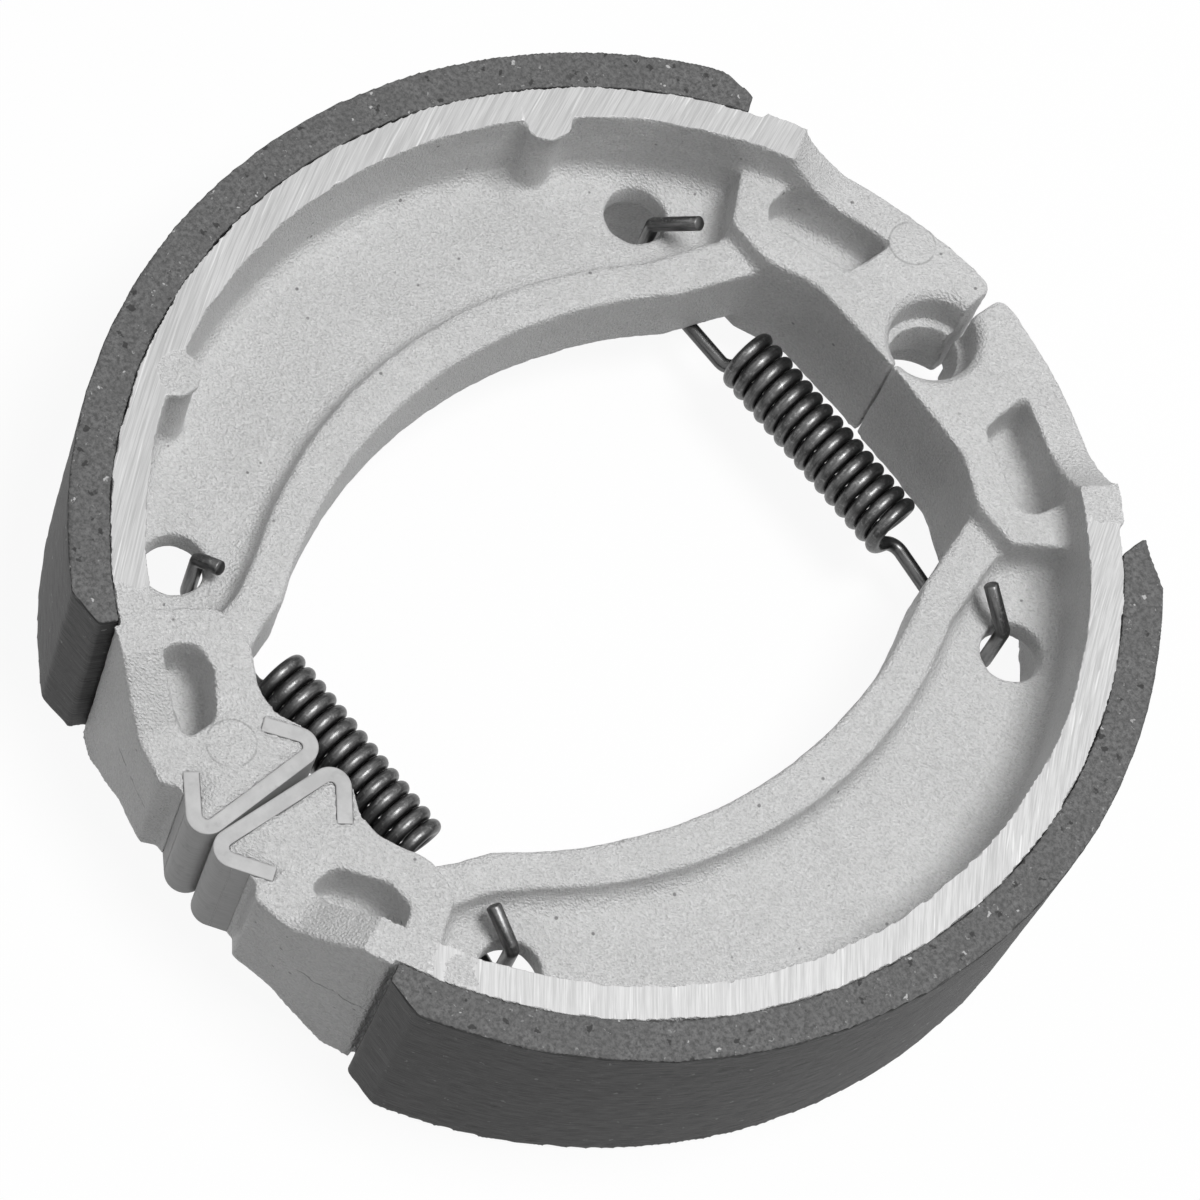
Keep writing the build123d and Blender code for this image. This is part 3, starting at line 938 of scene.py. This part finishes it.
class OBJECT_OT_brake_springs(bpy.types.Operator):
    """Add the two close-wound return springs with their hooked ends"""

    bl_idname = "object.brake_springs"
    bl_label = "Add Springs"

    def execute(self, context):
        sizes = context.scene.brake_springs
        steel = blackened_wire("spring_steel", sizes)
        level = MIDDLE - 2.9 * MM
        # Each spring's node, the middle of its coil, its pitch and turns, the middle
        # of its hole on the +X side, and its hooks at -X and +X: how far the wire
        # stands in from the hole's middle and to +Y of it, and how far its tip leans
        # inwards, to +Y and up. Places and hooks are in millimetres.
        springs = (
            (
                "anchor_spring",
                (-0.3, 30.4),
                (sizes.pitch, sizes.turns),
                (29.238, 29.099),
                ((2.05, 0.4, 3.9, 1.6, 4.6), (1.95, 0.3, 3.9, 0.5, 3.5)),
            ),
            (
                "cam_spring",
                (-0.8, -31.02),
                (sizes.cam_pitch, sizes.cam_turns),
                (25.568, -33.421),
                ((1.2, 1.9, 2.4, 0.6, 1.5), (1.4, 1.3, 4.05, 0.5, 2.1)),
            ),
        )
        for node, (x, y), (pitch, turns), hole, hooks in springs:
            ends = []
            for side, (across, along, lean_in, lean_along, rise) in zip((-1, 1), hooks):
                below = (side * (hole[0] - across) * MM, (hole[1] + along) * MM)
                above = (*below, MIDDLE + HOOK_LEVEL)
                tip = (
                    above[0] - side * lean_in * MM,
                    above[1] + lean_along * MM,
                    above[2] + rise * MM,
                )
                ends.append((tip, above, below))
            line, face = spring_line(
                x * MM, y * MM, level, sizes.coil / 2, pitch, turns, ends, sizes
            )
            mesh = wire_mesh(node + "_wire", line, face, sizes.wire / 2, sizes.sides)
            mesh.materials.append(steel)
            piece = show(mesh)
            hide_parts(node)
            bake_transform(piece)
        return {"FINISHED"}


def seen_rays(tree):
    """A socket that is 1 for rays from the camera, off gloss or through glass, and
    0 for the light that reaches the object."""
    path = tree.nodes.new("ShaderNodeLightPath").outputs
    seen = path["Is Camera Ray"]
    for other in ("Is Transmission Ray", "Is Glossy Ray"):
        either = tree.nodes.new("ShaderNodeMath")
        either.operation = "MAXIMUM"
        tree.links.new(seen, either.inputs[0])
        tree.links.new(path[other], either.inputs[1])
        seen = either.outputs[0]
    return seen


def pale_paper(stage):
    """A floor that shows nearly white and keeps the object's shadow, and that
    returns less light to the object than it shows."""
    paper = Shader("paper")
    seen = seen_rays(paper.tree)
    shade = paper.mix(seen, tuple(stage.bounce), tuple(stage.floor))
    paper.finish(Base_Color=shade, Roughness=0.9)
    glow = paper.node("ShaderNodeEmission")
    glow.inputs["Color"].default_value = WHITE
    blend = paper.node("ShaderNodeMixShader")
    paper.link(paper.math("MULTIPLY", seen, FLOOR_GLOW), blend.inputs[0])
    paper.link(paper.surface.outputs[0], blend.inputs[1])
    paper.link(glow.outputs[0], blend.inputs[2])
    output = paper.tree.nodes["Material Output"]
    paper.link(blend.outputs[0], output.inputs["Surface"])
    return paper.material


def studio_world(light):
    """A world that shows white, and lights the object with the given strength."""
    world = bpy.data.worlds.new("studio")
    world.use_nodes = True
    tree = world.node_tree
    strength = tree.nodes.new("ShaderNodeMapRange")
    tree.links.new(seen_rays(tree), strength.inputs["Value"])
    strength.inputs["To Min"].default_value = light
    strength.inputs["To Max"].default_value = 1.0
    back = tree.nodes["Background"]
    back.inputs["Color"].default_value = WHITE
    tree.links.new(strength.outputs[0], back.inputs["Strength"])
    return world


def soft_lamp(name, place, size, power):
    """A round area lamp that points at the origin."""
    lamp = bpy.data.lights.new(name, "AREA")
    lamp.shape = "DISK"
    lamp.size = size
    lamp.energy = power
    holder = bpy.data.objects.new(name, lamp)
    holder.location = place
    holder.rotation_mode = "QUATERNION"
    holder.rotation_quaternion = (-Vector(place)).to_track_quat("-Z", "Y")
    return holder


def aimed_camera(stage):
    """The camera, at its distance from the aim along the way back that the azimuth
    and the elevation give, and rolled about its own axis."""
    across = math.cos(stage.elevation)
    back_way = Vector(
        (
            across * math.cos(stage.azimuth),
            across * math.sin(stage.azimuth),
            math.sin(stage.elevation),
        )
    )
    camera = bpy.data.cameras.new("camera")
    camera.sensor_width = 36.0
    camera.lens = stage.lens
    camera.clip_start, camera.clip_end = 0.01, 10.0
    holder = bpy.data.objects.new("camera", camera)
    holder.matrix_world = (
        Matrix.Translation(Vector(stage.aim) + back_way * stage.distance)
        @ (-back_way).to_track_quat("-Z", "Y").to_matrix().to_4x4()
        @ Matrix.Rotation(stage.roll, 4, "Z")
    )
    return holder


class OBJECT_OT_brake_stage(bpy.types.Operator):
    """Add the pale floor, the soft lamps and the camera"""

    bl_idname = "object.brake_stage"
    bl_label = "Add Stage"

    def execute(self, context):
        scene = context.scene
        stage = scene.brake_stage
        half, low = FLOOR_REACH, -FLOOR_GAP
        corners = [(-half, -half, low), (half, -half, low), (half, half, low), (-half, half, low)]
        mesh = bpy.data.meshes.new("floor")
        mesh.from_pydata(corners, [], [(0, 1, 2, 3)])
        mesh.materials.append(pale_paper(stage))
        show(mesh)
        scene.world = studio_world(stage.world)
        lamps = (
            ("key", (0.17, 0.13, 0.84), 0.36, stage.key),
            ("fill", (-0.6, -0.3, 0.6), 0.5, stage.key * FILL_SHARE),
        )
        for lamp in lamps:
            scene.collection.objects.link(soft_lamp(*lamp))
        camera = aimed_camera(stage)
        scene.collection.objects.link(camera)
        scene.camera = camera
        scene.view_settings.view_transform = "Standard"
        return {"FINISHED"}


class VIEW3D_PT_brake_shoes(bpy.types.Panel):
    """Sizes, colours and steps of the brake shoe set"""

    bl_label = "Drum Brake Shoe Set"
    bl_idname = "VIEW3D_PT_brake_shoes"
    bl_space_type = "VIEW_3D"
    bl_region_type = "UI"
    bl_category = "Brake Shoes"

    def draw(self, context):
        layout = self.layout
        for operator, group in STEPS:
            box = layout.box()
            box.operator(operator.bl_idname)
            settings = getattr(context.scene, group)
            for key in type(settings).__annotations__:
                box.prop(settings, key)


GROUPS = {
    "brake_castings": BrakeCastingFinish,
    "brake_linings": BrakeLiningFinish,
    "brake_plates": BrakePlateFinish,
    "brake_springs": BrakeSpringSizes,
    "brake_stage": BrakeStage,
}
STEPS = (
    (OBJECT_OT_brake_castings, "brake_castings"),
    (OBJECT_OT_brake_linings, "brake_linings"),
    (OBJECT_OT_brake_plates, "brake_plates"),
    (OBJECT_OT_brake_springs, "brake_springs"),
    (OBJECT_OT_brake_stage, "brake_stage"),
)
CLASSES = (*GROUPS.values(), *(step[0] for step in STEPS), VIEW3D_PT_brake_shoes)


def register():
    for made in CLASSES:
        bpy.utils.register_class(made)
    for name, group in GROUPS.items():
        setattr(bpy.types.Scene, name, PointerProperty(type=group))


def unregister():
    for name in GROUPS:
        delattr(bpy.types.Scene, name)
    for made in reversed(CLASSES):
        bpy.utils.unregister_class(made)


def main():
    register()
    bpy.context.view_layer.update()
    bpy.ops.object.brake_castings()
    bpy.ops.object.brake_linings()
    bpy.ops.object.brake_plates()
    bpy.ops.object.brake_springs()
    bpy.ops.object.brake_stage()


if __name__ == "__main__":
    main()
